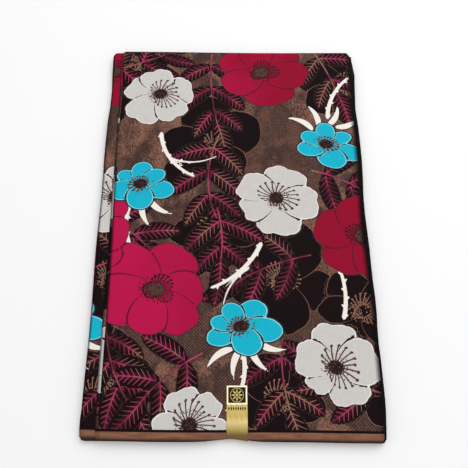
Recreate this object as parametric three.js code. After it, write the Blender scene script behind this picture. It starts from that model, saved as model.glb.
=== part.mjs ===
// A length of wax print cotton, folded for sale, with a foil label band over its near edge.
// The cloth is folded in half along its width, then zig-zag folded into panels that lie on each
// other. X runs across the panels, Y from the selvedges (near) to the mid-width fold (far), Z up.
// The origin is on the surface it lies on, under the middle of the pile. Millimetres.
import * as THREE from 'three';

// Driving dimensions of the pile.
const LENGTH = 592;            // half the cloth's width: selvedges to mid-width fold
const SKEW = 0.012;            // the near and far edges run this much out of square
const CORNER = 5;              // radius of the pile's corners, seen from above
const GAP = 0.3;               // air between two pieces that lie on each other

// Heights at the middle of the pile.
const STACK_HEIGHT = 11.2;
const LOWER_WALL = 1.2;        // a panel is two layers of pressed cotton
const MIDDLE_WALL = 1.2;
const TOP_WALL = 1.4;

// The selvedges lie softer than the rest, so every layer sinks towards the near edge.
const NEAR_SAG = 4.2;
const NEAR_SAG_REACH = 22;
const FAR_SAG = 1.0;
const FAR_SAG_REACH = 14;
const SIDE_SAG = 0.6;
const SIDE_SAG_REACH = 12;

// The pile is nowhere quite flat, nor are its near and far edges quite straight.
const SOFT_WAVE = { height: 0.25, acrossLength: 70, alongLength: 95, phase: 0.6 };
const NEAR_WAVE = { depth: 0.45, length: 47, phase: 0 };
const FAR_WAVE = { depth: 0.45, length: 61, phase: -2 };

// The folds at the two sides of the stack: each nose wraps two panels.
const FOLD_NOSES = 6;
const NOSE_DEPTH = 1.5;        // the proudest nose stands this far out of the stack's rim
const NOSE_WANDER = 0.9;       // and the shyest one this much less
const WANDER_FINE = 0.37;      // how fast a nose's reach changes from one rim point to the next
const WANDER_BROAD = 0.11;
const WANDER_SHIFT = 2.1;      // how far the pattern moves on from one nose to the next
const NOSE_UPPER = 0.78;       // a nose is full between these two shares of its height
const NOSE_LOWER = 0.3;
const VALLEY_DEPTH = 0.5;      // the valleys between the noses lie this far inside the rim
const RIM_ROUND = 0.5;         // a panel's rounded rim stands this far out at half its height

// The label band: a top leg, a bend over the near edge and a leg down the front.
const LABEL_CENTRE = 5;
const LABEL_WIDTH = 27;
const LABEL_WALL = 0.6;
const LABEL_LEG = 65;          // the top leg's far end, in from the near edge at its middle
const LABEL_BEND = 3;          // inner radius of the bend
const LABEL_SLOPE = 0.47;      // the bend starts at the angle at which the top leg arrives
const LABEL_FOOT = 1.2;        // the front leg ends this far above the ground
const LEG_STEPS = [0, 0.33, 0.66, 1];       // shares of the front leg, from its foot up
const BEND_STEPS = [0.25, 0.5, 0.75, 1];    // shares of the bend, from the front leg on
const LABEL_COLUMNS = [-0.5, 0, 0.5];       // shares of the width, across
const PINCH_CENTRE = -5;
const PINCH_IN = 4.6;          // the band pulls the edge inwards
const PINCH_DOWN = 2.2;        // and presses it down
const PINCH_SPREAD = 25;       // half the width of the pinch along the edge
const PINCH_REACH = 34;        // and how far in from the edge it is felt

// Edges of the pieces, seen from above: x at each y, from the near end to the far end.
const STACK_LEFT = [
  { y: -296, x: -196.2 }, { y: -276, x: -196.6 }, { y: -250, x: -195.2 }, { y: -172, x: -194.2 },
  { y: -56, x: -195 }, { y: 36, x: -194 }, { y: 116, x: -194.8 }, { y: 176, x: -194.2 },
  { y: 212, x: -191.6 }, { y: 262, x: -193.4 }, { y: 296, x: -193.8 },
];
const STACK_RIGHT = [
  { y: -296, x: 194.8 }, { y: -250, x: 197.2 }, { y: -205, x: 196.6 }, { y: -170, x: 195.6 },
  { y: -125, x: 197.2 }, { y: -60, x: 195.4 }, { y: 25, x: 193.6 }, { y: 100, x: 196.8 },
  { y: 150, x: 196.8 }, { y: 200, x: 195 }, { y: 262, x: 198.4 }, { y: 282, x: 198 },
  { y: 296, x: 194.6 },
];
const LOWER_LEFT = [
  { y: -296, x: -193.8 }, { y: -262, x: -194.2 }, { y: -150, x: -192.6 }, { y: -40, x: -193.2 },
  { y: 60, x: -192.4 }, { y: 160, x: -193 }, { y: 212, x: -190.4 }, { y: 296, x: -192 },
];
const LOWER_RIGHT = [
  { y: -296, x: 191.8 }, { y: -200, x: 194 }, { y: 35, x: 190.8 }, { y: 150, x: 193.2 },
  { y: 296, x: 194.4 },
];
const MIDDLE_LEFT = [
  { y: -296, x: -174.4 }, { y: -240, x: -175.8 }, { y: 0, x: -176.4 }, { y: 206, x: -177 },
  { y: 296, x: -179.4 },
];
const MIDDLE_RIGHT = [
  { y: -296, x: 191 }, { y: -120, x: 192.2 }, { y: 20, x: 188.4 }, { y: 150, x: 190.4 },
  { y: 296, x: 191.6 },
];
const TOP_LEFT = [
  { y: -296, x: -170.8 }, { y: -247, x: -170.6 }, { y: -115, x: -170.8 }, { y: -44, x: -171.6 },
  { y: 33, x: -173.2 }, { y: 116, x: -176.2 }, { y: 205, x: -172.4 }, { y: 296, x: -176.6 },
];
const TOP_RIGHT = [
  { y: -296, x: 189.8 }, { y: -240, x: 191.2 }, { y: -156, x: 191.2 }, { y: -80, x: 188.6 },
  { y: 0, x: 186 }, { y: 98, x: 188.8 }, { y: 190, x: 187.6 }, { y: 262, x: 188.2 },
  { y: 296, x: 189.8 },
];

// How far the rim of each piece stops short of the pile's outline.
const STACK_INSET = { side: NOSE_DEPTH, near: NOSE_DEPTH, far: NOSE_DEPTH };
const LOWER_INSET = { side: RIM_ROUND, near: 2, far: 1.2 };
const MIDDLE_INSET = { side: RIM_ROUND, near: 1.6, far: 0.9 };
const TOP_INSET = { side: RIM_ROUND, near: 1.2, far: 0.6 };

// Grid lines. Every piece has the same ones in the middle, so that their faces stay parallel.
const SIDE_STEPS = [0, 1.8, 5, 10];                // in from a piece's own sides
const NEAR_STEPS = [0, 3, 7, 12, 18, 25, 36];      // in from its near rim
const FAR_STEPS = [0, 3, 8, 15];                   // in from its far rim
const LABEL_LEFT = LABEL_CENTRE - LABEL_WIDTH / 2;
const LABEL_RIGHT = LABEL_CENTRE + LABEL_WIDTH / 2;
const INNER_COLUMNS = [-130, -85, -50, -27, LABEL_LEFT, LABEL_CENTRE, LABEL_RIGHT, 37, 60, 100, 145];
const INNER_ROWS = 9;

const { clamp, lerp, smoothstep } = THREE.MathUtils;
const roundOff = (distance, reach) => (1 - clamp(distance / reach, 0, 1)) ** 2;
const bell = (t) => Math.exp(-t * t);

// The x of an edge at y: eased between the rows of its table.
function edgeAt(table, y) {
  const inside = clamp(y, table[0].y, table[table.length - 1].y);
  const next = Math.max(table.findIndex((row) => row.y >= inside), 1);
  const before = table[next - 1];
  const after = table[next];
  return lerp(before.x, after.x, smoothstep(inside, before.y, after.y));
}

const pinchAt = (x) => bell((x - PINCH_CENTRE) / PINCH_SPREAD);
const waveAt = (wave, x) => wave.depth * Math.sin(x / wave.length + wave.phase);
const nearEdge = (x) => -LENGTH / 2 - SKEW * x + PINCH_IN * pinchAt(x) + waveAt(NEAR_WAVE, x);
const farEdge = (x) => LENGTH / 2 - SKEW * x + waveAt(FAR_WAVE, x);

// Height of the stack's upper side. Every panel above keeps the same form.
function stackTop(x, y) {
  const fromNear = y - nearEdge(x);
  const fromSide = Math.min(edgeAt(STACK_RIGHT, y) - x, x - edgeAt(STACK_LEFT, y));
  const near = NEAR_SAG * roundOff(fromNear, NEAR_SAG_REACH);
  const far = FAR_SAG * roundOff(farEdge(x) - y, FAR_SAG_REACH);
  const side = SIDE_SAG * roundOff(fromSide, SIDE_SAG_REACH);
  const pinch = PINCH_DOWN * pinchAt(x) * roundOff(fromNear, PINCH_REACH);
  const across = Math.sin(x / SOFT_WAVE.acrossLength + SOFT_WAVE.phase);
  const soft = SOFT_WAVE.height * across * Math.cos(y / SOFT_WAVE.alongLength);
  return STACK_HEIGHT + soft - near - far - side - pinch;
}

const lowerBottom = (x, y) => stackTop(x, y) + GAP;
const lowerTop = (x, y) => lowerBottom(x, y) + LOWER_WALL;
const middleBottom = (x, y) => lowerTop(x, y) + GAP;
const middleTop = (x, y) => middleBottom(x, y) + MIDDLE_WALL;
const topBottom = (x, y) => middleTop(x, y) + GAP;
const topTop = (x, y) => topBottom(x, y) + TOP_WALL;

// The corners round off the near and far rims, by this much at a distance from the side.
function cornerInset(fromSide) {
  const d = clamp(fromSide, 0, CORNER);
  return CORNER - Math.sqrt(CORNER ** 2 - (CORNER - d) ** 2);
}

// The plan points [x, y] of one column, from the near rim to the far one.
function planColumn(near, far) {
  const start = near + NEAR_STEPS[NEAR_STEPS.length - 1];
  const end = far - FAR_STEPS[FAR_STEPS.length - 1];
  const inner = Array.from({ length: INNER_ROWS - 1 }, (_, i) => lerp(start, end, (i + 1) / INNER_ROWS));
  const last = [...FAR_STEPS].reverse().map((d) => far - d);
  return [...NEAR_STEPS.map((d) => near + d), ...inner, ...last];
}

// A grid of plan points that fills a piece's outline, row by row from near to far.
function planGrid({ left, right, inset }) {
  const straight = [
    ...SIDE_STEPS.map((d) => ({ side: left, step: d })),
    ...INNER_COLUMNS.map((x) => ({ x })),
    ...[...SIDE_STEPS].reverse().map((d) => ({ side: right, step: -d })),
  ];
  const columns = straight.map(({ side, step, x }) => {
    const inward = side === left ? inset.side : -inset.side;
    const xAt = (y) => (side ? edgeAt(side, y) + inward + step : x);
    const corner = side ? cornerInset(Math.abs(step)) : 0;
    const near = nearEdge(xAt(-LENGTH / 2)) + inset.near + corner;
    const far = farEdge(xAt(LENGTH / 2)) - inset.far - corner;
    return planColumn(near, far).map((y) => [xAt(y), y]);
  });
  return columns[0].map((_, row) => columns.map((column) => column[row]));
}

// The points round the rim of a grid, counter-clockwise seen from above.
function rimOf(grid) {
  const near = grid[0];
  const far = grid[grid.length - 1];
  const rightSide = grid.slice(1, -1).map((row) => row[row.length - 1]);
  const leftSide = grid.slice(1, -1).map((row) => row[0]);
  return [...near, ...rightSide, ...[...far].reverse(), ...leftSide.reverse()];
}

// A closed body between an upper and a lower grid of points, joined by rings round the rim.
function closedBody(upper, lower, rings = []) {
  const rows = upper.length;
  const columns = upper[0].length;
  const count = rows * columns;
  const positions = [...upper.flat(), ...lower.flat(), ...rings.flat()].flat();
  const ids = upper.map((row, r) => row.map((_, c) => r * columns + c));
  const rim = rimOf(ids);
  const index = [];
  const quad = (a, b, c, d) => index.push(a, b, c, a, c, d);
  for (let r = 0; r < rows - 1; r += 1) {
    for (let c = 0; c < columns - 1; c += 1) {
      const [a, b, d, e] = [ids[r][c], ids[r][c + 1], ids[r + 1][c + 1], ids[r + 1][c]];
      quad(a, b, d, e);
      quad(a + count, e + count, d + count, b + count);
    }
  }
  const ringIds = rings.map((ring, k) => ring.map((_, i) => 2 * count + k * rim.length + i));
  const loops = [rim, ...ringIds, rim.map((id) => id + count)];
  for (let k = 0; k < loops.length - 1; k += 1) {
    for (let i = 0; i < rim.length; i += 1) {
      const j = (i + 1) % rim.length;
      quad(loops[k + 1][i], loops[k + 1][j], loops[k][j], loops[k][i]);
    }
  }
  const geometry = new THREE.BufferGeometry();
  geometry.setAttribute('position', new THREE.Float32BufferAttribute(positions, 3));
  geometry.setIndex(index);
  geometry.computeVertexNormals();
  return geometry;
}

// The outward direction at each rim point, in the plane.
function outwardAt(rim, i) {
  const before = rim[(i + rim.length - 1) % rim.length];
  const after = rim[(i + 1) % rim.length];
  return new THREE.Vector2(after[1] - before[1], before[0] - after[0]).normalize();
}

const liftGrid = (plan, height) => plan.map((row) => row.map(([x, y]) => [x, y, height(x, y)]));

// A ring round a rim: each point moved out by its own reach, at its own height.
function ringRound(rim, reachAt, heightAt) {
  return rim.map(([x, y], i) => {
    const out = outwardAt(rim, i).multiplyScalar(reachAt(i));
    return [x + out.x, y + out.y, heightAt(x, y)];
  });
}

// One panel: a thin wall whose rim is rounded, as a fold is.
function panelGeometry({ left, right, inset, bottom, top }) {
  const plan = planGrid({ left, right, inset });
  const halfHeight = (x, y) => (bottom(x, y) + top(x, y)) / 2;
  const round = ringRound(rimOf(plan), () => RIM_ROUND, halfHeight);
  return closedBody(liftGrid(plan, top), liftGrid(plan, bottom), [round]);
}

// The stack: its rim carries one rounded nose for each pair of panels, each wandering on its own.
function stackGeometry() {
  const plan = planGrid({ left: STACK_LEFT, right: STACK_RIGHT, inset: STACK_INSET });
  const rim = rimOf(plan);
  const rings = [];
  for (let nose = FOLD_NOSES - 1; nose >= 0; nose -= 1) {
    const fine = (i) => Math.sin(i * WANDER_FINE + nose * WANDER_SHIFT);
    const broad = (i) => Math.cos(i * WANDER_BROAD + nose);
    const noseReach = (i) => NOSE_DEPTH - (NOSE_WANDER * (1 - fine(i) * broad(i))) / 2;
    const heightShare = (share) => (x, y) => ((nose + share) / FOLD_NOSES) * stackTop(x, y);
    rings.push(ringRound(rim, noseReach, heightShare(NOSE_UPPER)));
    rings.push(ringRound(rim, noseReach, heightShare(NOSE_LOWER)));
    if (nose > 0) rings.push(ringRound(rim, () => -VALLEY_DEPTH, heightShare(0)));
  }
  return closedBody(liftGrid(plan, stackTop), liftGrid(plan, () => 0), rings);
}

// The label's inner side at x, as [y, z] from the front leg's foot up and over to the far end.
function labelPath(x) {
  const frontY = nearEdge(x) - GAP;
  const bendAt = (angle) => frontY + LABEL_BEND * (1 - Math.sin(angle));
  const centreZ = topTop(x, bendAt(LABEL_SLOPE)) + GAP - LABEL_BEND * Math.cos(LABEL_SLOPE);
  const front = LEG_STEPS.map((share) => [frontY, lerp(LABEL_FOOT, centreZ, share)]);
  const bend = BEND_STEPS.map((share) => {
    const angle = lerp(Math.PI / 2, LABEL_SLOPE, share);
    return [bendAt(angle), centreZ + LABEL_BEND * Math.cos(angle)];
  });
  const rows = NEAR_STEPS.filter((d) => d > LABEL_BEND).map((d) => nearEdge(x) + TOP_INSET.near + d);
  const leg = [...rows, nearEdge(LABEL_CENTRE) + LABEL_LEG].map((y) => [y, topTop(x, y) + GAP]);
  return [...front, ...bend, ...leg];
}

// The label's wall: the same path moved out by the wall's thickness.
function labelOuterPath(path) {
  return path.map(([y, z], k) => {
    const before = path[Math.max(k - 1, 0)];
    const after = path[Math.min(k + 1, path.length - 1)];
    const out = new THREE.Vector2(before[1] - after[1], after[0] - before[0]).setLength(LABEL_WALL);
    return [y + out.x, z + out.y];
  });
}

function labelGeometry() {
  const across = LABEL_COLUMNS.map((share) => LABEL_CENTRE + share * LABEL_WIDTH);
  const inner = across.map(labelPath);
  const outer = inner.map(labelOuterPath);
  const toGrid = (paths) => paths[0].map((_, k) => across.map((x, c) => [x, ...paths[c][k]]));
  return closedBody(toGrid(outer), toGrid(inner));
}

function piece(name, geometry, color, roughness, metalness) {
  const mesh = new THREE.Mesh(geometry, new THREE.MeshStandardMaterial({ color, roughness, metalness }));
  mesh.name = name;
  return mesh;
}

const group = new THREE.Group();
group.add(piece('folded_stack', stackGeometry(), 0x3a2a2a, 0.8, 0));
group.add(piece('lower_panel', panelGeometry({
  left: LOWER_LEFT, right: LOWER_RIGHT, inset: LOWER_INSET, bottom: lowerBottom, top: lowerTop,
}), 0xa8285a, 0.8, 0));
group.add(piece('middle_panel', panelGeometry({
  left: MIDDLE_LEFT, right: MIDDLE_RIGHT, inset: MIDDLE_INSET, bottom: middleBottom, top: middleTop,
}), 0xd8d4ce, 0.8, 0));
group.add(piece('top_panel', panelGeometry({
  left: TOP_LEFT, right: TOP_RIGHT, inset: TOP_INSET, bottom: topBottom, top: topTop,
}), 0x5a4038, 0.8, 0));
group.add(piece('label', labelGeometry(), 0xc9ad62, 0.3, 1));

export default group;
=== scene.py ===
import math
import bmesh
import bpy
import numpy as np
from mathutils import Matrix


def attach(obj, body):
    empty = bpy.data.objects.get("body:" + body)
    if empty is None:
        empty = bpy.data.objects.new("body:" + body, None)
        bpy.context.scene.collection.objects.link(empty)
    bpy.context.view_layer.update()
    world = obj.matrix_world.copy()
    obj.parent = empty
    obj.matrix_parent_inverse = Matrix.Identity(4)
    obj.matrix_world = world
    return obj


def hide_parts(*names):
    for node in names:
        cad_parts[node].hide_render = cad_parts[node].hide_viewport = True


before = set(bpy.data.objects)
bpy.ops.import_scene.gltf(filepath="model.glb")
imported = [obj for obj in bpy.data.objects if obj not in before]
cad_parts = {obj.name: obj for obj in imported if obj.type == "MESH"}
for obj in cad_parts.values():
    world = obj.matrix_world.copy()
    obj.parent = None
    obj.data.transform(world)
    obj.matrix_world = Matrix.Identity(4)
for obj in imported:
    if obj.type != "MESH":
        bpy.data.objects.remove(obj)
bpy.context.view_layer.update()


# Folded stack. The hidden panels of one length of wax print cotton, 1.18 m wide: the cloth is
# folded in half along its width, both plies together are then laid to and fro in twelve panels,
# and nothing is sewn. Everything in this section down to the stack's own mesh serves all the cloth.

MM = 0.001                          # sizes on the cloth are in millimetres
HALF_WIDTH = 592.0                  # from the selvedges, at the near edge, to the mid-width fold
SKEW, WAVE = 0.012, 0.45            # the near and far edges run out of square, and wave a little
CORNER = 5.0                        # radius of the corners, seen from above
STACK_HEIGHT = 11.2
PANELS = 12
COTTON = 0.24                       # one ply of the cloth

# The label band pulls the near edge in and down, most a little to the left of its middle.
PINCH_CENTRE, PINCH_SPREAD = -5, 25
PINCH_IN, PINCH_DOWN, PINCH_REACH = 4.6, 2.2, 34

# How deep the pile sinks at an edge, and how far in that starts.
NEAR_SAG, FAR_SAG, SIDE_SAG = (4.2, 22), (1.0, 14), (0.6, 12)

# The sides of the stack, seen from above: (y, x) from the near end to the far end.
STACK_LEFT = [
    (-296, -196.2), (-276, -196.6), (-250, -195.2), (-172, -194.2), (-56, -195), (36, -194),
    (116, -194.8), (176, -194.2), (212, -191.6), (262, -193.4), (296, -193.8),
]
STACK_RIGHT = [
    (-296, 194.8), (-250, 197.2), (-205, 196.6), (-170, 195.6), (-125, 197.2), (-60, 195.4),
    (25, 193.6), (100, 196.8), (150, 196.8), (200, 195), (262, 198.4), (282, 198), (296, 194.6),
]


def side_at(table, y):
    """The x of a side at y, eased between the rows of its table."""
    ys, xs = np.array(table, dtype=float).T
    y = np.clip(y, ys[0], ys[-1])
    row = np.clip(np.searchsorted(ys, y) - 1, 0, len(ys) - 2)
    share = (y - ys[row]) / (ys[row + 1] - ys[row])
    return xs[row] + (xs[row + 1] - xs[row]) * share * share * (3 - 2 * share)


def pinch_at(x):
    """How much of the label band's pull is felt at x along the near edge."""
    return np.exp(-(((x - PINCH_CENTRE) / PINCH_SPREAD) ** 2))


def selvedge_at(x):
    """The y of the selvedges at x, before the label pulls them in."""
    return -HALF_WIDTH / 2 - SKEW * x + WAVE * np.sin(x / 47)


def near_at(x):
    """The y of the pile's near edge at x."""
    return selvedge_at(x) + PINCH_IN * pinch_at(x)


def far_at(x):
    """The y of the pile's far edge at x."""
    return HALF_WIDTH / 2 - SKEW * x + WAVE * np.sin(x / 61 - 2)


def sag(distance, reach):
    """One at an edge, eased to zero at reach from it."""
    return (1 - np.clip(distance / reach, 0, 1)) ** 2


def stack_top(x, y):
    """Height of the stack's upper side: it sinks a little towards each edge, most at the selvedges."""
    from_near = y - near_at(x)
    from_side = np.minimum(side_at(STACK_RIGHT, y) - x, x - side_at(STACK_LEFT, y))
    soft = 0.25 * np.sin(x / 70 + 0.6) * np.cos(y / 95)
    sides = ((NEAR_SAG, from_near), (FAR_SAG, far_at(x) - y), (SIDE_SAG, from_side))
    edges = sum(depth * sag(distance, reach) for (depth, reach), distance in sides)
    return STACK_HEIGHT + soft - edges - PINCH_DOWN * pinch_at(x) * sag(from_near, PINCH_REACH)


def corner_inset(from_side):
    """How far the rounded corners set the near and far rims back, at a distance from the side."""
    return CORNER - np.sqrt(CORNER**2 - (CORNER - np.clip(from_side, 0, CORNER)) ** 2)


# The print: large open flowers in white, magenta and turquoise, black shadow flowers behind them,
# sprays of toothed leaves and thorny stems, on a mottled brown ground. All of it repeats along the
# cloth. x runs along the selvedge and q is the distance from it, in millimetres.
REPEAT = 400.0
FAR = 40.0                          # a distance that counts as nowhere near a motif
HEART, PETAL_OUT = 0.2, 0.52        # shares of the radius: the joined heart, each petal's middle
PETAL_TIP = 0.35                    # half the angle that a petal's point or notch takes up
LEAF = (64.0, 27.0)                 # length and width of a full-grown leaf
LEAF_MARGIN = 1.8                   # a leaf hides what lies under it this far beyond its edge

FLOWERS = {  # petal sizes are shares of the flower's radius
    "shadow": dict(petals=5, length=0.50, width=0.43, tip=0.10, frill=0.05, frills=3, flare=0.20),
    "magenta": dict(petals=6, length=0.50, width=0.42, tip=-0.05, frill=0.04, frills=3, flare=0.25),
    "turquoise": dict(petals=6, length=0.49, width=0.35, tip=0.03, frill=0.03, frills=3, flare=0.18),
    "white": dict(petals=5, length=0.50, width=0.43, tip=-0.16, frill=0.07, frills=5, flare=0.34),
}
BLOOMS = [  # kind, x, q, radius, turn, how flat it is seen
    ("shadow", -28, 416, 80, 0.4, 0.9), ("shadow", 66, 208, 84, 1.0, 0.85),
    ("shadow", -172, 78, 72, 0.2, 0.9), ("shadow", 56, 50, 66, 0.9, 0.85),
    ("shadow", 178, 530, 72, 0.3, 0.9), ("shadow", 176, 168, 66, 0.6, 0.8),
    ("shadow", -20, 288, 68, 2.1, 0.85), ("shadow", -160, 566, 58, 1.3, 0.85),
    ("magenta", 46, 552, 72, 0.7, 0.85), ("magenta", -104, 196, 76, 0.2, 0.9),
    ("magenta", 184, 276, 72, 1.9, 0.85),
    ("turquoise", 142, 424, 50, 0.5, 0.72), ("turquoise", -136, 356, 48, 2.7, 0.7),
    ("turquoise", 10, 146, 48, 2.9, 0.72),
    ("white", -112, 512, 61, 0.3, 0.82), ("white", 64, 334, 62, 1.1, 0.85),
    ("white", 134, 92, 59, 0.2, 0.85), ("white", -56, 20, 51, 0.8, 0.85),
]
SPRAYS = [  # x, q, turn, length, bend, pairs of leaves
    (-32, 588, -1.65, 130, 0.3, 3), (128, 600, -1.0, 90, -0.3, 2), (-20, 436, -2.0, 120, 0.7, 3),
    (110, 246, -2.95, 100, 0.3, 2), (-186, 300, -0.3, 70, -0.5, 2), (-170, 148, -1.5, 100, 0.5, 3),
    (66, 128, -1.7, 90, 0.4, 2), (196, 60, 2.9, 80, -0.3, 2), (118, 378, -0.2, 80, -0.4, 2),
    (-40, 110, -2.7, 90, 0.4, 2), (-22, 318, -1.3, 80, -0.4, 2), (-196, 552, 0.3, 110, 0.15, 3),
]
STEMS = [  # x, q, turn, length, bend, half width at its start and at its end
    (-108, 440, -1.5, 92, 1.1, 3.2, 1.8), (-92, 398, -0.4, 70, 0.9, 1.6, 0.5),
    (40, 262, -2.0, 96, -0.8, 3.2, 1.8), (22, 226, -2.6, 66, 0.9, 1.6, 0.5),
    (150, 158, 1.3, 84, 0.7, 3.0, 1.6), (148, 470, 1.5, 84, -0.8, 3.2, 2.0),
    (-150, 318, -1.8, 84, 0.9, 3.0, 1.8), (14, 108, -1.4, 78, -0.9, 3.0, 1.8),
]
SEPALS = [  # x, q, turn, radius of the flower that they stand behind
    (142, 424, 1.5, 44), (-136, 356, -1.75, 42), (10, 146, -1.45, 42),
]


def turned(x, q, turn):
    """An offset, measured along and across a direction."""
    return x * math.cos(turn) + q * math.sin(turn), q * math.cos(turn) - x * math.sin(turn)


def lobe(a, b, length, width, tip=0.0, frill=0.0, frills=3, flare=0.0, phase=0.0):
    """Distance to the edge of a petal or leaf: an oval that may be pointed, notched or scalloped."""
    p = a / length
    w = b / (width * (1 + flare * np.clip(p, -1, 1)))
    rho = np.hypot(p, w) + 1e-6
    angle = np.arctan2(w, p)
    outer = np.clip(np.cos(angle) + 0.3, 0, 1)
    scallop = np.sqrt(np.abs(np.sin(frills * angle + phase))) - 1
    edge = 1 + tip * np.exp(-((angle / PETAL_TIP) ** 2)) + frill * scallop * outer
    return (rho - edge) * rho / np.hypot(p / length, w / width)


class Print:
    """The print at some points of the cloth: how far each lies from every kind of motif."""

    def __init__(self, x, q):
        self.x, self.q = x, q
        self.random = np.random.default_rng(7)
        kinds = (*FLOWERS, "leaf", "leaf_rim", "sepal")
        self.edge = {kind: np.full(len(x), FAR) for kind in kinds}
        self.bloom = np.tile([0.0, 0.0, FAR], (len(x), 1))
        self.frond = np.tile([0.0, 0.0, 1.0], (len(x), 1))
        self.line = {kind: np.tile([FAR, -FAR, 0.0], (len(x), 1)) for kind in ("spine", "stem")}
        for flower in BLOOMS:
            self.add_bloom(*flower)
        for spray in SPRAYS:
            self.add_spray(*spray)
        for stem in STEMS:
            self.add_line("stem", *self.path(*stem[:5]), *stem[5:])
        for sepals in SEPALS:
            self.add_sepals(*sepals)

    def around(self, x, q, reach):
        """The points within reach of a place, in any repeat of the print, and their offsets."""
        dx = (self.x - x + REPEAT / 2) % REPEAT - REPEAT / 2
        dq = self.q - q
        near = np.nonzero((np.abs(dx) < reach) & (np.abs(dq) < reach))[0]
        return near, dx[near], dq[near]

    def add_bloom(self, kind, x, q, radius, turn, flat):
        """Petals laid over each other round a heart, the whole flower seen a little from the side."""
        flower = dict(FLOWERS[kind])
        petals, length, width = (flower.pop(key) for key in ("petals", "length", "width"))
        near, dx, dq = self.around(x, q, radius * 1.4)
        u, v = turned(dx, dq / flat, turn)
        angle, far = np.arctan2(v, u), np.hypot(u, v)
        lean, twist = self.random.uniform(0, 6, 3), self.random.uniform(0, 6, 2)
        angle = angle + 0.16 * np.sin(angle + lean[0]) + 0.07 * np.sin(2 * angle + lean[1])
        far = far * (1 + 0.10 * np.cos(angle + twist[0]) + 0.05 * np.cos(2 * angle + twist[1]))
        u, v = far * np.cos(angle), far * np.sin(angle)
        nearest = far - HEART * radius
        seam = np.full(len(near), -FAR)
        for petal in self.random.permutation(petals):
            size = radius * self.random.uniform(0.88, 1.1)
            wide = width * size * self.random.uniform(0.9, 1.12)
            place = 2 * math.pi * (petal + self.random.uniform(-0.12, 0.12)) / petals
            a, b = turned(u, v, place)
            phase = self.random.uniform(0, 6)
            edge = lobe(a - PETAL_OUT * size, b, length * size, wide, phase=phase, **flower)
            nearest = np.minimum(nearest, edge)
            seam = np.where((edge < 0) | (edge < np.abs(seam)), edge, seam)
        self.edge[kind][near] = np.minimum(self.edge[kind][near], nearest)
        own = nearest < 3
        seam = seam * (1 + 3 * np.clip(np.abs(seam) - 4, 0, None) ** 2)
        self.bloom[near[own]] = np.stack([u, v, seam], 1)[own]

    def path(self, x, q, turn, length, bend, steps=14):
        """Points along a bent line, and its heading at each."""
        heading = turn + bend * np.linspace(0, 1, steps)
        middle = (heading[1:] + heading[:-1]) / 2
        run = length / (steps - 1)
        xs = x + run * np.concatenate([[0], np.cumsum(np.cos(middle))])
        qs = q + run * np.concatenate([[0], np.cumsum(np.sin(middle))])
        return xs, qs, heading

    def add_line(self, kind, xs, qs, heading, half_from, half_to):
        """A line drawn by its sideways distance, half width and run, so that it stays even."""
        centre_x, centre_q = xs.mean(), qs.mean()
        reach = max(np.ptp(xs), np.ptp(qs)) / 2 + 10
        near, dx, dq = self.around(centre_x, centre_q, reach)
        dx, dq = dx + centre_x, dq + centre_q
        best = np.full(len(near), FAR)
        line = self.line[kind][near]
        run = math.hypot(xs[1] - xs[0], qs[1] - qs[0])
        for step in range(len(xs) - 1):
            cos, sin = (xs[step + 1] - xs[step]) / run, (qs[step + 1] - qs[step]) / run
            along = (dx - xs[step]) * cos + (dq - qs[step]) * sin
            aside = (dq - qs[step]) * cos - (dx - xs[step]) * sin
            past = np.maximum(-along, along - run)
            inner = (step > 0) * (along < 0) + (step < len(xs) - 2) * (along > run)
            distance = np.hypot(aside, np.maximum(past, 0))
            share = (step + np.clip(along / run, 0, 1)) / (len(xs) - 1)
            half = half_from + (half_to - half_from) * share - np.maximum(past, 0) * (inner == 0)
            wins = distance - half < np.abs(line[:, 0]) - line[:, 1]
            closer = wins & (distance < np.minimum(best, 6))
            found = np.stack([aside, half, step * run + along], 1)
            line[closer] = found[closer]
            best = np.minimum(best, distance)
        self.line[kind][near] = line

    def add_leaf(self, x, q, length, width, turn, bow):
        """A bowed leaf, laid over the ones before it."""
        middle = (x + math.cos(turn) * length / 2, q + math.sin(turn) * length / 2)
        near, dx, dq = self.around(*middle, length * 0.62 + 6)
        a, b = turned(dx, dq, turn)
        b = b - bow * (1 - (2 * a / length) ** 2)
        distance = lobe(a, b, length / 2, width / 2, tip=0.10)
        rim = self.edge["leaf_rim"][near]
        on_top = distance < LEAF_MARGIN
        self.edge["leaf_rim"][near] = np.where(on_top, distance, np.maximum(rim, -distance))
        self.edge["leaf"][near] = np.minimum(self.edge["leaf"][near], distance)
        self.frond[near[on_top]] = np.stack([a + length / 2, b, np.full(len(near), length)], 1)[on_top]

    def add_spray(self, x, q, turn, length, bend, pairs):
        """A twig with pairs of leaves and one at its tip."""
        xs, qs, heading = self.path(x, q, turn, length, bend)
        for pair in range(pairs):
            share = (pair + 0.55) / (pairs + 0.1)
            place = share * (len(xs) - 1)
            at_x, at_q, at = (np.interp(place, range(len(xs)), c) for c in (xs, qs, heading))
            size = (1.05 - 0.5 * abs(share - 0.45)) * self.random.uniform(0.92, 1.08)
            for side in (-1, 1):
                spread = side * math.radians(60 - 18 * share + self.random.uniform(-5, 5))
                self.add_leaf(at_x, at_q, LEAF[0] * size, LEAF[1] * size, at + spread, side * 2.5)
        self.add_leaf(xs[-1], qs[-1], LEAF[0], LEAF[1], heading[-1], 2.0)
        self.add_line("spine", xs, qs, heading, 1.2, 0.8)

    def add_sepals(self, x, q, turn, radius):
        """Four pale pointed leaves that stand out from behind a flower."""
        for spread in (-0.78, -0.3, 0.3, 0.78):
            way = turn + spread
            reach = radius * 1.12
            near, dx, dq = self.around(x + math.cos(way) * reach, q + math.sin(way) * reach, 30)
            a, b = turned(dx, dq, way + 0.4 * spread)
            leaf = lobe(a, b - 0.012 * a * a, 20, 4.2, tip=0.18, flare=-0.4)
            self.edge["sepal"][near] = np.minimum(self.edge["sepal"][near], leaf)

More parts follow.
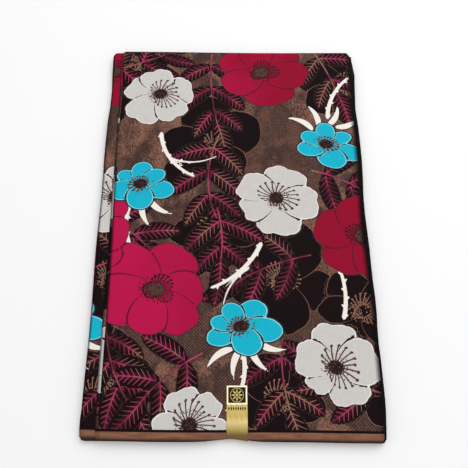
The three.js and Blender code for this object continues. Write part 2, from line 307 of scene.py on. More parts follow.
    def paint_black_shade(self, beyond):
        """Where beyond is above zero, black painted shade covers every motif and the selvedge."""
        for kind, edge in self.edge.items():
            self.edge[kind] = np.maximum(edge, beyond)
        for line in self.line.values():
            line[beyond > 0, 1] = -FAR
        self.bloom[beyond > 0] = (5 * FAR, 0.0, FAR)
        self.q = self.q + FAR * (beyond > 0)
        self.edge["shadow"] = np.minimum(self.edge["shadow"], -beyond)
        return self

    def write(self, mesh, from_fold):
        """Every value becomes a point attribute that the finish reads."""
        edge = self.edge
        layers = {
            "cloth": (self.x, self.q, from_fold),
            "petals": (edge["white"], edge["magenta"], edge["turquoise"]),
            "shade": (edge["shadow"], edge["leaf"], edge["leaf_rim"]),
            "bloom": self.bloom.T,
            "frond": self.frond.T,
            "stem": self.line["stem"].T,
            "spine": (*self.line["spine"].T[:2], edge["sepal"]),
        }
        for name, columns in layers.items():
            layer = mesh.attributes.new(name, "FLOAT_VECTOR", "POINT")
            layer.data.foreach_set("vector", np.stack(columns, 1).astype(np.float32).ravel())


class Value:
    """A shader socket that takes part in Python's own sums."""

    def __init__(self, finish, output):
        self.finish, self.output = finish, output

    def math(self, operation, *others, clamp=False):
        sockets = dict(enumerate((self, *others)))
        return self.finish.add("Math", {"operation": operation, "use_clamp": clamp}, sockets)

    def __add__(self, other):
        return self.math("ADD", other)

    def __sub__(self, other):
        return self.math("SUBTRACT", other)

    def __mul__(self, other):
        return self.math("MULTIPLY", other)

    def __truediv__(self, other):
        return self.math("DIVIDE", other)

    def __rsub__(self, other):
        return self.finish.add("Math", {"operation": "SUBTRACT"}, {0: other, 1: self})

    def __abs__(self):
        return self.math("ABSOLUTE")

    __radd__ = __add__
    __rmul__ = __mul__


class Shading:
    """The nodes of a material or of the room, and one method that adds any of them."""

    def __init__(self, owner, shader, **constants):
        owner.use_nodes = True
        self.owner, self.tree = owner, owner.node_tree
        self.shader = self.tree.nodes[shader]
        for socket, value in constants.items():
            self.feed(socket.replace("_", " "), value)

    def connect(self, socket, value):
        if isinstance(value, Value):
            self.tree.links.new(value.output, socket)
        else:
            socket.default_value = value

    def feed(self, socket, value):
        self.connect(self.shader.inputs[socket], value)

    def add(self, kind, settings=None, sockets=None, output=0):
        node = self.tree.nodes.new("ShaderNode" + kind)
        for name, value in (settings or {}).items():
            setattr(node, name, value)
        for name, value in (sockets or {}).items():
            self.connect(node.inputs[name], value)
        return Value(self, node.outputs[output])

    def parts(self, vector):
        """The three parts of a vector."""
        split = self.add("SeparateXYZ", sockets={"Vector": vector}).output.node
        return [Value(self, socket) for socket in split.outputs]

    def layer(self, name):
        return self.add("Attribute", {"attribute_name": name}, output="Vector")

    def vector(self, x, y, z=0.0):
        return self.add("CombineXYZ", sockets={"X": x, "Y": y, "Z": z})

    def noise(self, vector, size, detail=2.0):
        """Soft noise between zero and one, its blotches about size across."""
        return self.add("TexNoise", {}, {"Vector": vector, "Scale": 1 / size, "Detail": detail})

    def paint(self, base, mask, colour):
        """Colour laid over base where the mask is one."""
        sockets = {0: mask, 6: base, 7: colour}
        return self.add("Mix", {"data_type": "RGBA"}, sockets, output=2)


def new_finish(name, **constants):
    return Shading(bpy.data.materials.new(name), "Principled BSDF", **constants)


def cut(distance, soft=0.5):
    """One inside an edge and zero outside it, from the distance in millimetres."""
    return distance.math("MULTIPLY_ADD", -1 / soft, 0.5, clamp=True)


def dye(red, green, blue):
    """A dye's colour from its eight-bit shade."""
    shades = [c / 255 for c in (red, green, blue)]
    return (*[c / 12.92 if c <= 0.04045 else ((c + 0.055) / 1.055) ** 2.4 for c in shades], 1.0)


# The finish: plain-woven cotton, printed on both faces and calendered, so it has a slight sheen.
# Each motif is cut out of its distance, and the lines inside a flower or a leaf are drawn in its
# own coordinates.
BROWN, DEEP_BROWN, TAN = dye(94, 67, 58), dye(58, 42, 40), dye(146, 104, 86)
BLACK, PINK, WINE, CREAM = dye(18, 5, 8), dye(172, 62, 94), dye(104, 34, 56), dye(242, 235, 226)
MAGENTA, CRIMSON, RED_LINE = dye(184, 17, 74), dye(146, 6, 43), dye(84, 18, 38)
TURQUOISE, PALE_BLUE, BLUE_LINE = dye(22, 178, 204), dye(150, 214, 224), dye(16, 40, 46)
WHITE, WHITE_RIM, BROWN_LINE = dye(204, 201, 196), dye(242, 234, 230), dye(46, 29, 28)
HEART_DARK, HEART_BROWN = dye(38, 22, 26), dye(86, 56, 46)
SELVEDGE, DULL_SELVEDGE = dye(146, 102, 80), dye(108, 70, 56)

cotton = new_finish(
    "printed_cotton", Sheen_Weight=0.02, Sheen_Roughness=0.4, Specular_IOR_Level=0.07,
)
cloth = cotton.layer("cloth")
along, from_selvedge, from_fold = cotton.parts(cloth)
white, magenta, turquoise = cotton.parts(cotton.layer("petals"))
shadow, leaf, leaf_rim = cotton.parts(cotton.layer("shade"))
bloom_u, bloom_v, seam = cotton.parts(cotton.layer("bloom"))
frond_run, frond_side, frond_length = cotton.parts(cotton.layer("frond"))
stem_side, stem_half, stem_run = cotton.parts(cotton.layer("stem"))
spine_side, spine_half, sepal = cotton.parts(cotton.layer("spine"))
ragged = (cotton.noise(cloth, 3.0, 3.0) - 0.5) * 1.3          # the dye's edge is never quite sharp

# Ground: brown, clouded with darker resist marks, under a fine tan net and stipple.
NET, DOT = 4.4, 3.1                 # pitch of the net and of the stipple
CLOUD, GRAIN, VEIL = 30, 2.6, 70    # size of the dark clouds, of the grain and of the pale clouds
cloud = cotton.noise(cloth, CLOUD, 5.0)
grain = cotton.noise(cloth, GRAIN, 3.0)
veil = cotton.noise(cloth, VEIL, 2.0)
net_u = (along * (2 * math.pi / NET)).math("SINE")
net_v = (from_selvedge * (2 * math.pi / NET)).math("SINE")
net = net_u * net_v + (grain - 0.5) * 3.0
ground = cotton.paint(BROWN, cut(cloud - 0.535, 0.10) * 0.95, DEEP_BROWN)
ground = cotton.paint(ground, cut(0.20 - net, 0.5) * cut(veil - 0.50, 0.08) * 0.4, TAN)
ground = cotton.paint(ground, cut(net - 0.1, 0.5) * cut(0.50 - cloud, 0.10) * 0.38, BLACK)
tan_patch = cut(0.555 - veil, 0.08) * cut((0.5 - grain) + (0.5 - cloud) * 0.5, 0.3)
ground = cotton.paint(ground, tan_patch * 0.9, TAN)
dots = cotton.add("TexVoronoi", {"feature": "F1"}, {"Vector": cloth, "Scale": 1 / DOT}, "Distance")

# Inside a flower: the turn round its middle, the lines between its petals and its stamens.
FLOWER_SIZE = 70.0                  # the share of the way out is measured against this radius
bloom_angle = bloom_v.math("ARCTAN2", bloom_u) / (2 * math.pi)
bloom_far = (bloom_u * bloom_u + bloom_v * bloom_v).math("SQRT")
bloom_share = bloom_far / FLOWER_SIZE


def stamens(count, inner, outer, half):
    """Threads that spread from a flower's heart, longer to one side, each with a knob at its end."""
    phase = bloom_angle * count + bloom_far * 0.02
    number = phase.math("FLOOR")
    aside = (phase - number - 0.5) * bloom_far * (2 * math.pi / count)
    reach = 0.62 + 0.42 * abs((number * 12.9).math("SINE")) + 0.28 * bloom_u / (bloom_far + 1)
    end = bloom_far - outer * reach
    thread = cut(abs(aside) - half) * cut(end) * cut(inner - bloom_far)
    knob = cut((aside * aside + end * end).math("SQRT") - 2.2 * half)
    return thread.math("MAXIMUM", knob)


def flower(base, edge, petal, rim, outline, line, heart, dust):
    """One kind of flower over what lies behind it. A rim and an outline are a colour and a width. The
    line between petals also has its strength, where it starts, and how fast it widens from there.
    The heart is its colour, its radius and the colour of its seeds, and dust marks the stamens."""
    edge = edge + ragged
    painted = cotton.paint(base, cut(edge - outline[1]), outline[0])
    painted = cotton.paint(painted, cut(edge), rim[0])
    from_line = abs(seam - line[1] / 2 + ragged * 0.4)
    half = ((bloom_share - line[3]) * line[4] + 0.3).math("MULTIPLY", 1.0, clamp=True) * (line[1] / 2)
    beside = 1 - cut(from_line - half - rim[1] * 0.8) * cut(line[3] - bloom_share, 0.05)
    painted = cotton.paint(painted, cut(edge + rim[1]) * beside, petal)
    drawn = cut(from_line - half) * cut(edge) * cut(line[3] - bloom_share, 0.05)
    painted = cotton.paint(painted, drawn * line[2], line[0])
    blotch = cut(bloom_far - heart[1] + ragged * 6)
    pollen = cut(dots - 0.34, 0.1) * cut(bloom_far - heart[1] * 1.9 + ragged * 9)
    around = blotch.math("MAXIMUM", dust).math("MAXIMUM", pollen)
    painted = cotton.paint(painted, cut(edge + 3) * around, heart[0])
    seeds = cut(0.36 - dots, 0.1) * cut(bloom_far - heart[1] * 0.9 + ragged * 4)
    return cotton.paint(painted, seeds * cut(edge + 3), heart[2])


shadow_petals = (BLACK, 0.6), (TAN, 0.5), (TAN, 1.2, 0.6, 0.2, 1.5)
print_colour = flower(
    ground, shadow, BLACK, *shadow_petals, (TAN, 11, BLACK), stamens(26, 6, 24, 0.6),
)

# Leaves: black, toothed, with a midrib and side veins that lean forward to the rim.
VEIN_PITCH, VEIN_LEAN, VEIN_HALF, MIDRIB_HALF = 7.2, 0.8, 0.78, 1.0
TOOTH_OUT, TOOTH_SLOPE = 1.3, 0.55  # a tooth stands out at the end of its vein, and falls back from it
vein_phase = ((frond_run - abs(frond_side) * VEIN_LEAN) / VEIN_PITCH).math("FRACT")
from_vein = abs(vein_phase - 0.5) * VEIN_PITCH
toothed = leaf + TOOTH_SLOPE * from_vein - TOOTH_OUT + ragged * 0.5
vein = cut(from_vein - VEIN_HALF + abs(frond_side) * 0.035)
vein_dye = cotton.paint(PINK, cut(0.55 - veil + (0.5 - cloud) * 0.8, 0.2), WINE)
vein_dye = cotton.paint(vein_dye, cut(veil - 0.43 + (0.5 - cloud) * 0.4, 0.06), TAN)
inside_rim = cut(leaf_rim + 1.6, 0.8)
midrib = cut(abs(frond_side) - MIDRIB_HALF + frond_run / frond_length * 0.5)
blush = cut(abs(frond_side) - 4.0, 6.0) * cut(leaf_rim + 3.0, 3.0)
print_colour = cotton.paint(print_colour, cut(toothed - 0.8), DEEP_BROWN)
print_colour = cotton.paint(print_colour, cut(toothed), BLACK)
print_colour = cotton.paint(print_colour, cut(leaf) * blush * 0.3, WINE)
print_colour = cotton.paint(print_colour, cut(toothed + 0.8) * inside_rim * vein, vein_dye)
print_colour = cotton.paint(print_colour, cut(leaf + 0.8) * midrib * cut(leaf_rim + 0.6), vein_dye)
print_colour = cotton.paint(print_colour, cut(abs(spine_side) - spine_half + ragged * 0.3), vein_dye)

# Stems and sepals: left undyed, the stems with thorns on alternate sides.
THORN_PITCH, THORN_START, THORN_SLOPE = 24.0, 0.82, 22    # a thorn starts at that share of its pitch
THORN_STEM = 1.2                    # half width of the thinnest stem that has thorns
thorn_side = stem_side.math("SIGN") * 0.25
thorn = (stem_run / THORN_PITCH + thorn_side).math("FRACT")
spike = THORN_SLOPE * (thorn - THORN_START).math("MAXIMUM", 0.0) * cut(THORN_STEM - stem_half)
stem_edge = abs(stem_side) - stem_half - spike + ragged * 0.4
pale = stem_edge.math("MINIMUM", sepal + ragged * 0.4)
print_colour = cotton.paint(print_colour, cut(pale - 0.9), BROWN_LINE)
print_colour = cotton.paint(print_colour, cut(pale), CREAM)

# The three bright flowers. The magenta runs from pink-red to crimson across the cloth.
WARM_RUN, WARM_START = 190, 120     # the change's length along the cloth, and how far back it starts
warmth = (along + WARM_START) / WARM_RUN + (cotton.noise(cloth, 90) - 0.5)
warmth = warmth.math("MULTIPLY", 1.0, clamp=True)
reds = cotton.paint(MAGENTA, warmth, CRIMSON)
print_colour = flower(
    print_colour, magenta, reds, (reds, 0.5), (BROWN_LINE, 0.8), (RED_LINE, 2.2, 0.9, 0.25, 1.8),
    (HEART_DARK, 12, HEART_BROWN), stamens(30, 6, 22, 0.8),
)
print_colour = flower(
    print_colour, turquoise, TURQUOISE, (PALE_BLUE, 1.2), (BLUE_LINE, 1.9),
    (BLUE_LINE, 2.8, 1.0, 0.2, 2.5), (HEART_BROWN, 11, HEART_DARK), stamens(18, 5, 16, 0.9),
)
print_colour = flower(
    print_colour, white, WHITE, (WHITE_RIM, 1.1), (BROWN_LINE, 0.9), (BROWN_LINE, 3.8, 1.0, 0.3, 1.6),
    (HEART_BROWN, 11, HEART_DARK), stamens(22, 5, 28, 0.9),
)

# Selvedge: plain brown beyond a black line. Its outermost threads, in patches, and the far fold are
# darkened with painted shade.
PLAIN_WIDE, BLACK_WIDE = 12.0, 15.2          # from the selvedge to the line's start, and to its end
print_colour = cotton.paint(print_colour, cut(from_selvedge - BLACK_WIDE + ragged * 0.4), BLACK)
streaks = cotton.noise(cotton.vector(along / 30, from_selvedge / 5), 1.0, 3.0)
selvedge_dye = cotton.paint(SELVEDGE, cut(streaks - 0.5, 0.35) * 0.8, DULL_SELVEDGE)
on_selvedge = cut(from_selvedge - PLAIN_WIDE + ragged * 0.4)
print_colour = cotton.paint(print_colour, on_selvedge, selvedge_dye)
# Painted shade: a dark band along the near edge, broken in patches by this noise, and a dark line
# along the far fold.
near_shade_noise = cotton.noise(cotton.vector(along / 60, 0.0), 1.0, 1.0)
painted_near_shade = cut(from_selvedge - 4.0 + ragged * 0.6, 3.6) * cut(0.33 - near_shade_noise, 0.14)
painted_far_shade = cut(HALF_WIDTH - 1.4 - from_selvedge + ragged * 0.6)
print_colour = cotton.paint(print_colour, (painted_near_shade + painted_far_shade) * 0.95, BROWN_LINE)

# Threads: slubs along and across, which change the shade a little and stand up a little. A folded
# side is darkened with painted shade where it rolls away, though hardly so on the plain selvedge.
warp = cotton.noise(cotton.vector(along / 0.7, from_selvedge / 14), 1.0, 2.0)
weft = cotton.noise(cotton.vector(along / 14, from_selvedge / 0.7), 1.0, 2.0)
threads = warp + weft
painted_fold_shade = cut(from_fold - 1.8, 2.6) * (0.3 + 0.7 * cut(PLAIN_WIDE + 1 - from_selvedge))
shade = (threads * 0.34 + 0.66) * (1 - 0.8 * painted_fold_shade)
woven = cotton.add(
    "Mix", {"data_type": "RGBA", "blend_type": "MULTIPLY"},
    {0: 1.0, 6: print_colour, 7: cotton.vector(shade, shade, shade)}, output=2,
)
cotton.feed("Base Color", woven)
cotton.feed("Roughness", 0.56 + 0.1 * grain)
height = threads + cotton.noise(cloth, 9) * 1.5
relief = cotton.add("Bump", {}, {"Strength": 0.35, "Distance": 0.0003, "Height": height})
cotton.feed("Normal", relief)


def unit_sheet(columns, rows):
    """A flat grid from 0 to 1 across and along."""
    bm = bmesh.new()
    bmesh.ops.create_grid(bm, x_segments=columns, y_segments=rows, size=0.5)
    bmesh.ops.translate(bm, verts=bm.verts, vec=(0.5, 0.5, 0))
    return bm


def shaped(name, bm, place, finish):
    """A bmesh in unit coordinates, laid where place puts its points, as one finished object."""
    mesh = bpy.data.meshes.new(name)
    bm.to_mesh(mesh)
    bm.free()
    points = np.zeros(len(mesh.vertices) * 3, dtype=np.float32)
    mesh.vertices.foreach_get("co", points)
    laid = place(*points.reshape(-1, 3).T.astype(float))
    mesh.vertices.foreach_set("co", (np.stack(laid[:3], 1) * MM).astype(np.float32).ravel())
    mesh.update()
    mesh.polygons.foreach_set("use_smooth", [True] * len(mesh.polygons))
    mesh.materials.append(finish.owner)
    piece = bpy.data.objects.new(name, mesh)
    bpy.context.scene.collection.objects.link(piece)
    return piece, laid[3:]


# The stack's own mesh: one sheet, laid to and fro, that also turns back at the mid-width fold.
PANEL_RUN, NOSE_RUN = 20, 4         # grid steps along a panel, and round the nose after it
PLY_RUN, FOLD_RUN = 26, 3           # grid steps across a ply, and round the mid-width fold
STACK_COLUMNS = PANELS * (PANEL_RUN + NOSE_RUN) - NOSE_RUN
STACK_ROWS = 2 * PLY_RUN + FOLD_RUN
NOSE = 0.75                         # radius of a fold nose, as a share of a panel's thickness
NEAR_BACK, FAR_BACK = 0.3, 0.5      # how far the stack's edges lie behind the pile's
PANEL_LENGTH = 386.0
BLACK_SHADE_START = 172.0                 # black painted shade covers the folds at the right from here on


def wander(number, place):
    """How far one fold stays behind the proudest, from 0 to 1.1 mm."""
    return 0.55 * (1 + np.sin(place / 37 + 2.1 * number) * np.cos(place / 91 + number))


def fold_to_and_fro(a, b, _):
    """a runs along the cloth, b from one selvedge round the mid-width fold to the other."""
    run = a * STACK_COLUMNS
    panel = np.minimum(run // (PANEL_RUN + NOSE_RUN), PANELS - 1)
    step = run - panel * (PANEL_RUN + NOSE_RUN)
    share = np.clip(step / PANEL_RUN, 0, 1)
    share = share - 0.9 * np.sin(2 * math.pi * share) / (2 * math.pi)     # closer near the folds
    turn = np.clip((step - PANEL_RUN) / NOSE_RUN, 0, 1) * math.pi
    back = panel % 2
    share_right = np.where(back == 0, share, 1 - share)
    row = b * STACK_ROWS
    fold = np.clip((row - PLY_RUN) / FOLD_RUN, 0, 1) * math.pi
    inward = np.where(row < STACK_ROWS / 2, row, STACK_ROWS - row)
    depth = np.clip(inward / PLY_RUN, 0, 1) ** 1.5                        # closer near the selvedges
    nose = NOSE * STACK_HEIGHT / PANELS
    y_guess = -HALF_WIDTH / 2 + depth * HALF_WIDTH
    left = side_at(STACK_LEFT, y_guess) + wander(panel + 1, y_guess) + nose
    right = side_at(STACK_RIGHT, y_guess) - wander(panel, y_guess) - nose
    x = left + (right - left) * share_right
    inset = corner_inset(np.minimum(share_right, 1 - share_right) * (right - left))
    near = near_at(x) + NEAR_BACK + wander(panel + 3, x) + inset
    far = far_at(x) - FAR_BACK - wander(panel + 5, x) - inset
    y = near + (far - near) * depth
    pitch = (stack_top(x, y) - COTTON) / PANELS
    offset = np.cos(fold) * np.where(back == 0, 1, -1) * pitch / 4
    arc = pitch / 2 - offset
    x = x + np.where(back == 0, 1, -1) * arc * np.sin(turn)
    lift = np.where(turn > 0, pitch / 2 - arc * np.cos(turn), offset)
    z = COTTON / 2 + pitch * (panel + 0.5) + lift
    y = y + pitch / 4 * np.sin(fold)
    along_cloth = panel * PANEL_LENGTH + share * PANEL_LENGTH
    return x, y, z, along_cloth, y - selvedge_at(x), x


flat = unit_sheet(STACK_COLUMNS, STACK_ROWS)
stack_cloth, (run, q, x) = shaped("stack_cloth", flat, fold_to_and_fro, cotton)
Print(run, q).paint_black_shade(x - BLACK_SHADE_START).write(stack_cloth.data, x * 0 + FAR)
ply = stack_cloth.modifiers.new("ply", "SOLIDIFY")
ply.thickness = COTTON * MM
ply.offset = 0
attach(stack_cloth, "root")
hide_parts("folded_stack")


# Lower panel. The panel under the two uppermost, whose folded side shows as the wide strip at the
# left. It is two plies of the same cotton, laid on the stack, with its selvedges at the near edge.
LOWER_LEFT = [
    (-296, -193.8), (-262, -194.2), (-150, -192.6), (-40, -193.2), (60, -192.4), (160, -193),
    (212, -190.4), (296, -192),
]
LOWER_RIGHT = [(-296, 191.8), (-200, 194), (35, 190.8), (150, 193.2), (296, 194.4)]
LOWER_WALL = 1.2
AIR = 0.3                           # between two pieces that lie on each other
RIM = 0.5                           # how far a panel's rounded rim stands out
RINGS = 7                           # round a panel's rim, between its upper and lower side
PLY_GAP = (1.6, 0.13)               # depth of the gap between the plies, and its share of the wall
RIGHT_SHADE_SPAN = 0.55                   # the painted shade on the folds at the right spans a wider stretch
HIDDEN_GRID = (40, 260)             # grid steps across and along a hidden panel


def slab(columns, rows):
    """A flat slab from 0 to 1 across and along, 0 to -1 deep, with rings cut into its rim."""
    bm = unit_sheet(columns, rows)
    drawn = bmesh.ops.extrude_face_region(bm, geom=bm.faces[:])["geom"]
    sunk = [part for part in drawn if isinstance(part, bmesh.types.BMVert)]
    bmesh.ops.translate(bm, verts=sunk, vec=(0, 0, -1))
    upright = [e for e in bm.edges if abs(e.verts[0].co.z - e.verts[1].co.z) > 0.5]
    bmesh.ops.subdivide_edges(bm, edges=upright, cuts=RINGS)
    bmesh.ops.recalc_face_normals(bm, faces=bm.faces)
    return bm


def outward(x, y, left, right, near, far):
    """The way out of a panel's rim: straight at its sides, round at its corners."""
    out_x = x - np.clip(x, left + CORNER, right - CORNER)
    out_y = y - np.clip(y, near + CORNER, far - CORNER)
    length = np.maximum(np.hypot(out_x, out_y), 1e-6)
    return out_x / length, out_y / length


def lay_panel(left_table, right_table, near_inset, far_inset, base, wall, spread, crease=None):
    """Lays a slab on the pile, base above the stack, as two plies that part at the near edge. The
    insets say how far its near and far edges lie behind the pile's."""

    def place(a, b, c):
        a, deep = spread(a), -c
        y_guess = -HALF_WIDTH / 2 + b * HALF_WIDTH
        left, right = side_at(left_table, y_guess) + RIM, side_at(right_table, y_guess) - RIM
        x = left + (right - left) * a
        inset = corner_inset(np.minimum(a, 1 - a) * (right - left))
        near, far = near_at(x) + near_inset + inset, far_at(x) - far_inset - inset
        y = near + (far - near) * b
        height = stack_top(x, y) + base + wall * (1 - deep)
        if crease:
            height = height + crease(x, y) * (1 - deep)
        ends = (near_at(x) + near_inset, far_at(x) - far_inset)
        out_x, out_y = outward(x, y, left, right, *ends)
        fold = RIM * np.sqrt(np.clip(1 - (2 * deep - 1) ** 2, 0, 1))
        ply_deep = np.abs(4 * np.abs(deep - 0.5) - 1)
        gap = PLY_GAP[0] * sag(np.abs(deep - 0.5), PLY_GAP[1])
        plies = RIM * np.sqrt(np.clip(1 - ply_deep**2, 0, 1)) - gap
        parted = np.clip(-out_y * 3 - 1.5, 0, 1)
        reach = (fold + (plies - fold) * parted) * ((deep > 0.01) & (deep < 0.99))
        from_fold = np.minimum(x - left, (right - x) * RIGHT_SHADE_SPAN)
        return x + out_x * reach, y + out_y * reach, height, x, y - selvedge_at(x), from_fold

    return place


def finer_left(a):
    """Half of the columns go to the left tenth, which is all that shows of a hidden panel."""
    return np.where(a < 0.5, a * 0.2, 0.1 + (a - 0.5) * 1.8)


PRINT_SHIFT = 236.0                 # the hidden panels show another stretch of the print
LOWER_BACK = 1.6                    # and this one lies a little further back than the top panel
place = lay_panel(
    LOWER_LEFT, LOWER_RIGHT, near_inset=2.0, far_inset=1.2, base=AIR, wall=LOWER_WALL,
    spread=finer_left,
)
lower_cloth, (x, q, from_fold) = shaped("lower_cloth", slab(*HIDDEN_GRID), place, cotton)
Print(x + PRINT_SHIFT, q - LOWER_BACK).paint_black_shade(x - BLACK_SHADE_START).write(lower_cloth.data, from_fold)
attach(lower_cloth, "root")
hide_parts("lower_panel")


# Middle panel. The next panel up, also two plies: only a sliver of it shows at the left, beside
# the lower panel's strip, and its folded side at the right.
MIDDLE_LEFT = [(-296, -174.4), (-240, -175.8), (0, -176.4), (206, -177), (296, -179.4)]
MIDDLE_RIGHT = [(-296, 191), (-120, 192.2), (20, 188.4), (150, 190.4), (296, 191.6)]
MIDDLE_WALL = 1.2
middle_base = AIR + LOWER_WALL + AIR

place = lay_panel(
    MIDDLE_LEFT, MIDDLE_RIGHT, near_inset=1.6, far_inset=0.9, base=middle_base, wall=MIDDLE_WALL,
    spread=finer_left,
)
middle_cloth, (x, q, from_fold) = shaped("middle_cloth", slab(*HIDDEN_GRID), place, cotton)
Print(x - PRINT_SHIFT / 2, q).paint_black_shade(x - BLACK_SHADE_START).write(middle_cloth.data, from_fold)
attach(middle_cloth, "root")
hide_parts("middle_panel")


# Top panel. The uppermost panel, two plies of cotton with the whole print in view, from the plain
# selvedge at the near edge to the mid-width fold at the far one. It lies loose on the others.
TOP_LEFT = [
    (-296, -170.8), (-247, -170.6), (-115, -170.8), (-44, -171.6), (33, -173.2), (116, -176.2),
    (205, -172.4), (296, -176.6),
]
TOP_RIGHT = [
    (-296, 189.8), (-240, 191.2), (-156, 191.2), (-80, 188.6), (0, 186), (98, 188.8), (190, 187.6),
    (262, 188.2), (296, 189.8),
]
TOP_WALL = 1.4
TOP_GRID = (156, 254)
top_base = middle_base + MIDDLE_WALL + AIR

# Creases of the upper ply: from (x, y) to (x, y), height and half width.
CREASES = [
    (-80, -284, -56, -298, 1.2, 2.6), (-62, -297, -34, -288, -1.0, 2.8),
    (-98, -285, -78, -295, 0.7, 3.0), (36, -286, 52, -295, 0.7, 3.0),
    (74, -288, 128, -290, 0.5, 3.4), (150, -282, 168, -294, 0.6, 3.2),
    (-140, -286, -118, -293, 0.6, 3.5), (-20, -264, -12, -290, 0.5, 4.0),
    (26, -260, 22, -290, 0.5, 4.0), (-176, 90, 188, 74, 0.45, 9.0),
    (-170, -118, 190, -128, 0.4, 10.0), (10, -226, 4, 290, 0.4, 8.0),
    (60, -240, 150, 40, 0.35, 7.0), (-150, 180, -30, 262, 0.35, 8.0),
]


def creases(x, y):
    """Soft ridges and troughs, each fading at its ends."""
    height = np.zeros_like(x)
    for x0, y0, x1, y1, rise, half in CREASES:
        run = math.hypot(x1 - x0, y1 - y0)
        cos, sin = (x1 - x0) / run, (y1 - y0) / run
        share = ((x - x0) * cos + (y - y0) * sin) / run
        aside = (y - y0) * cos - (x - x0) * sin
        fade = np.clip(4 * share * (1 - share), 0, 1) ** 0.5
        height += rise * np.exp(-((aside / half) ** 2)) * fade
    return height


place = lay_panel(
    TOP_LEFT, TOP_RIGHT, near_inset=1.2, far_inset=0.6, base=top_base, wall=TOP_WALL,
    spread=np.array, crease=creases,
)
top_cloth, (x, q, from_fold) = shaped("top_cloth", slab(*TOP_GRID), place, cotton)
Print(x, q).write(top_cloth.data, from_fold)
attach(top_cloth, "root")
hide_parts("top_panel")


# Label. A band of gold foil on paper, printed in black with a rosette and a row of lozenges. It is
# wrapped over the near edge and holds the selvedges together: one leg on top, one down the front.
LABEL_CENTRE, LABEL_WIDTH, LABEL_PAPER = 5.0, 27.0, 0.25
LABEL_LEG = 65.0                    # on top of the pile, from its near edge
LABEL_BEND, LABEL_SLOPE = 3.0, 0.47 # radius of the bend, and the cloth's slope where it ends
LABEL_FOOT = 1.2                    # how far above the table the front leg ends
LABEL_LIFT = 0.2                    # between the cloth and the label on it
LABEL_GRID = (30, 110)
CRINKLE, CRINKLE_START = 0.10, 8    # the foil's unevenness, and how far past the bend it is full


def wrap_over_edge(a, b, _):
    """Front leg, bend over the near edge and top leg, by the distance run from the foot."""
    x = LABEL_CENTRE + (a - 0.5) * LABEL_WIDTH
    front = near_at(x) - AIR
    bend_y = front + LABEL_BEND * (1 - math.sin(LABEL_SLOPE))
    panel_top = top_base + TOP_WALL + LABEL_LIFT
    centre_z = stack_top(x, bend_y) + panel_top - LABEL_BEND * math.cos(LABEL_SLOPE)
    rise = centre_z - LABEL_FOOT
    arc = LABEL_BEND * (math.pi / 2 - LABEL_SLOPE)
    leg = near_at(LABEL_CENTRE) + LABEL_LEG - bend_y
    run = b * (rise + arc + leg)
    angle = math.pi / 2 - np.clip(run - rise, 0, arc) / LABEL_BEND
    on_leg = np.clip(run - rise - arc, 0, None)
    y = np.where(run < rise, front, front + LABEL_BEND * (1 - np.sin(angle)) + on_leg)
    lying = stack_top(x, y) + creases(x, y) + panel_top
    z = np.where(on_leg > 0, lying, centre_z + LABEL_BEND * np.cos(angle))
    z = np.where(run < rise, LABEL_FOOT + run, z)
    crinkle = CRINKLE * np.sin(x * 0.9 + y * 0.13) * np.sin(y * 0.21 + 1.0)
    z = z + crinkle * np.clip(on_leg / CRINKLE_START, 0, 1)
    return x, y, z, x - LABEL_CENTRE, rise + arc + leg - run


# The label's printing, measured across from its middle and down from its far end.
foil = new_finish("gold_foil", Specular_IOR_Level=0.2)
across, down, _ = foil.parts(foil.layer("label"))
GOLD, HIGHLIGHT_GOLD, SHADE_GOLD = dye(200, 176, 104), dye(226, 208, 146), dye(128, 106, 64)
FRAME_GOLD, INK = dye(255, 247, 216), dye(14, 12, 10)
BOX_CENTRE, BOX_WIDE, BOX_TALL = 11.7, 11.0, 9.5        # the black square's middle and half sizes
FRAME_OUT, FRAME = 1.3, 0.75                            # middle and half width of the frame round it
ROSETTE, SCALLOP, HUB, RING = 4.8, 2.4, 2.2, 8.4        # radii in the square
ROW_DOWN, ROW_WIDE, LOZENGE_PITCH, LOZENGE = 28.2, 11.8, 2.95, 1.05

box = (abs(across) - BOX_WIDE).math("MAXIMUM", abs(down - BOX_CENTRE) - BOX_TALL)
angle = (down - BOX_CENTRE).math("ARCTAN2", across)
radius = (across * across + (down - BOX_CENTRE) * (down - BOX_CENTRE)).math("SQRT")
rosette = radius - ROSETTE - SCALLOP * (angle * 8).math("COSINE")
hub = abs(radius - HUB)
ring = abs(radius - RING) - 0.35
ornament = rosette.math("MINIMUM", ring).math("MAXIMUM", 0.5 - hub)
lozenge_x = ((across / LOZENGE_PITCH).math("FRACT") - 0.5) * LOZENGE_PITCH
lozenge = abs(lozenge_x) + abs(down - ROW_DOWN) * 0.36 - LOZENGE
row = lozenge.math("MAXIMUM", abs(across) - ROW_WIDE)
ink = cut(box, 0.3).math("MULTIPLY", 1 - cut(ornament, 0.3)).math("MAXIMUM", cut(row, 0.3))
frame_line = cut(abs(box - FRAME_OUT) - FRAME, 0.3)
speck = foil.noise(foil.layer("label"), 0.8)

# The foil has a painted highlight where it starts to slope and painted shade where it goes over the
# edge.
face = foil.paint(GOLD, cut(abs(down - 45) - 3, 8), HIGHLIGHT_GOLD)
face = foil.paint(face, cut(56 - down, 8), SHADE_GOLD)
face = foil.paint(face, frame_line, FRAME_GOLD)
foil.feed("Base Color", foil.paint(face, ink, INK))
foil.feed("Metallic", 1 - ink)
foil.feed("Roughness", 0.30 + 0.1 * speck + 0.15 * ink)
foil.feed("Normal", foil.add("Bump", {}, {"Strength": 0.2, "Distance": 0.0002, "Height": speck}))

foil_label, (x, run) = shaped("foil_label", unit_sheet(*LABEL_GRID), wrap_over_edge, foil)
marks = foil_label.data.attributes.new("label", "FLOAT_VECTOR", "POINT")
marks.data.foreach_set("vector", np.stack([x, run, x * 0], 1).astype(np.float32).ravel())
paper = foil_label.modifiers.new("paper", "SOLIDIFY")
paper.thickness = LABEL_PAPER * MM
paper.offset = 1
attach(foil_label, "root")
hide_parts("label")


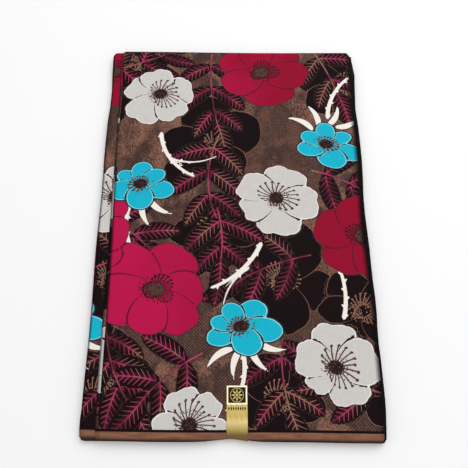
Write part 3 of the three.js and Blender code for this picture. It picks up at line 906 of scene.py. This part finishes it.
# Floor, light and camera. A pale table top, a white room and one large soft lamp; the camera looks
# down at the pile from over its near edge.
FLOOR_HALF = 3
bm = bmesh.new()
bmesh.ops.create_grid(bm, x_segments=1, y_segments=1, size=FLOOR_HALF)
floor_mesh = bpy.data.meshes.new("floor")
bm.to_mesh(floor_mesh)
bm.free()
floor_white = new_finish("floor_white", Base_Color=dye(251, 251, 251), Roughness=0.9)
floor_mesh.materials.append(floor_white.owner)
floor = bpy.data.objects.new("floor", floor_mesh)
bpy.context.scene.collection.objects.link(floor)

ROOM_LOW, ROOM_RISE = 0.36, 0.62    # the room's light at the floor, and how much more there is above
room = Shading(bpy.data.worlds.new("room"), "Background")
_, _, height = room.parts(room.add("TexCoord", output="Generated"))
room.feed("Strength", height.math("MAXIMUM", 0.0) * ROOM_RISE + ROOM_LOW)
room.shader.inputs["Color"].default_value = (1, 1, 1, 1)
bpy.context.scene.world = room.owner

LAMP_SIZE, LAMP_WATTS = 1.6, 15
LAMP_PLACE, LAMP_TURN = (0.7, 0.9, 1.8), (-0.46, 0.37, 0)
lamp = bpy.data.lights.new("lamp", "AREA")
lamp.size = LAMP_SIZE
lamp.energy = LAMP_WATTS
lamp_object = bpy.data.objects.new("lamp", lamp)
lamp_object.location = LAMP_PLACE
lamp_object.rotation_euler = LAMP_TURN
bpy.context.scene.collection.objects.link(lamp_object)

CAMERA_PLACE = (0.001, -0.276, 0.726)
CAMERA_TILT, CAMERA_HEADING = math.radians(19.9), math.radians(-0.277)
FOCAL_PIXELS, IMAGE_PIXELS, SENSOR = 530, 468, 36
camera = bpy.data.cameras.new("camera")
camera.sensor_width = SENSOR
camera.lens = FOCAL_PIXELS / IMAGE_PIXELS * SENSOR
camera.clip_start = 0.01
camera_object = bpy.data.objects.new("camera", camera)
camera_object.location = CAMERA_PLACE
camera_object.rotation_euler = (CAMERA_TILT, 0, CAMERA_HEADING)
bpy.context.scene.collection.objects.link(camera_object)
bpy.context.scene.camera = camera_object
bpy.context.scene.view_settings.view_transform = "Standard"
